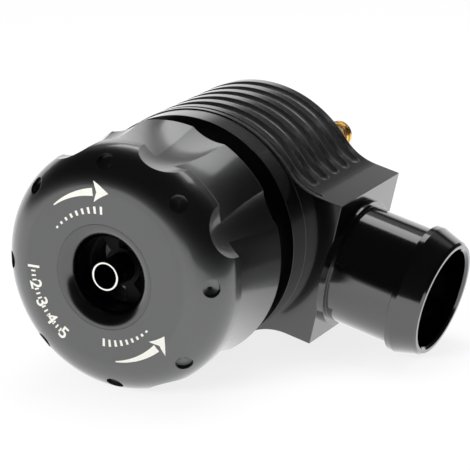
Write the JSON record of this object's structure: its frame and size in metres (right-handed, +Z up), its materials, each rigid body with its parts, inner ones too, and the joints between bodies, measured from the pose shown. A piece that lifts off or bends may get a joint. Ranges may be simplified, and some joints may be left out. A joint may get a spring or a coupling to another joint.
{
  "type": "blow off valve",
  "caption": "Black anodised blow off valve with a ribbed body, a side outlet, a rear inlet and a scalloped adjusting knob round a trumpet insert",
  "frame": {"origin": "On the inlet's axis, where the inlet's flange seats on the rear face of the body", "axes": "+Y runs out of the inlet along the valve's axis, the knob points along -Y, +Z is up with the valve lying on its side on the knob and the outlet, and +X is the side of the outlet"},
  "size_m": [0.0775, 0.0867, 0.05],
  "materials": {
    "black_anodised": "black anodised, polished",
    "satin_black": "black anodised, bead blasted",
    "bare_aluminium": "turned",
    "steel": "bright",
    "brass": "turned",
    "rubber": "matte",
    "white_plastic": "matte"
  },
  "bodies": {
    "housing": {"housing": "black_anodised", "outlet_spout": "black_anodised", "outlet_o_ring": "rubber", "inlet_spout": "black_anodised", "inlet_o_ring": "rubber", "vacuum_nipple": "brass", "nipple_washer": "white_plastic", "seat_snap_ring": "steel"},
    "seat": {"spring_seat": "bare_aluminium", "seat_o_ring": "rubber", "thrust_washer": "white_plastic"},
    "knob": {"adjuster_knob": "satin_black", "trumpet_insert": "black_anodised", "knob_drag_ring": "rubber"},
    "piston": {"piston": "bare_aluminium", "front_piston_ring": "white_plastic", "rear_piston_ring": "white_plastic", "valve_disc": "rubber", "disc_plate": "steel", "disc_screw": "steel", "spring_shim": "steel", "valve_spring": "steel"}
  },
  "joints": [
    {"name": "seat_slide", "type": "slide", "parent": "housing", "child": "seat", "axis": [0, 1, 0], "range_m": [-0.001, 0.006]},
    {"name": "knob_turn", "type": "hinge", "parent": "seat", "child": "knob", "pos_m": [0, 0, 0], "axis": [0, 1, 0], "range_deg": [-120.5, 720.5]},
    {"name": "piston_slide", "type": "slide", "parent": "housing", "child": "piston", "axis": [0, -1, 0], "range_m": [0, 0.006], "stiffness_N_per_m": 1500, "springref_m": -0.02, "deforming": ["valve_spring"]}
  ],
  "couplings": [
    {"joint": "knob_turn", "follows": "seat_slide", "rad_per_m": 2094.4}
  ]
}
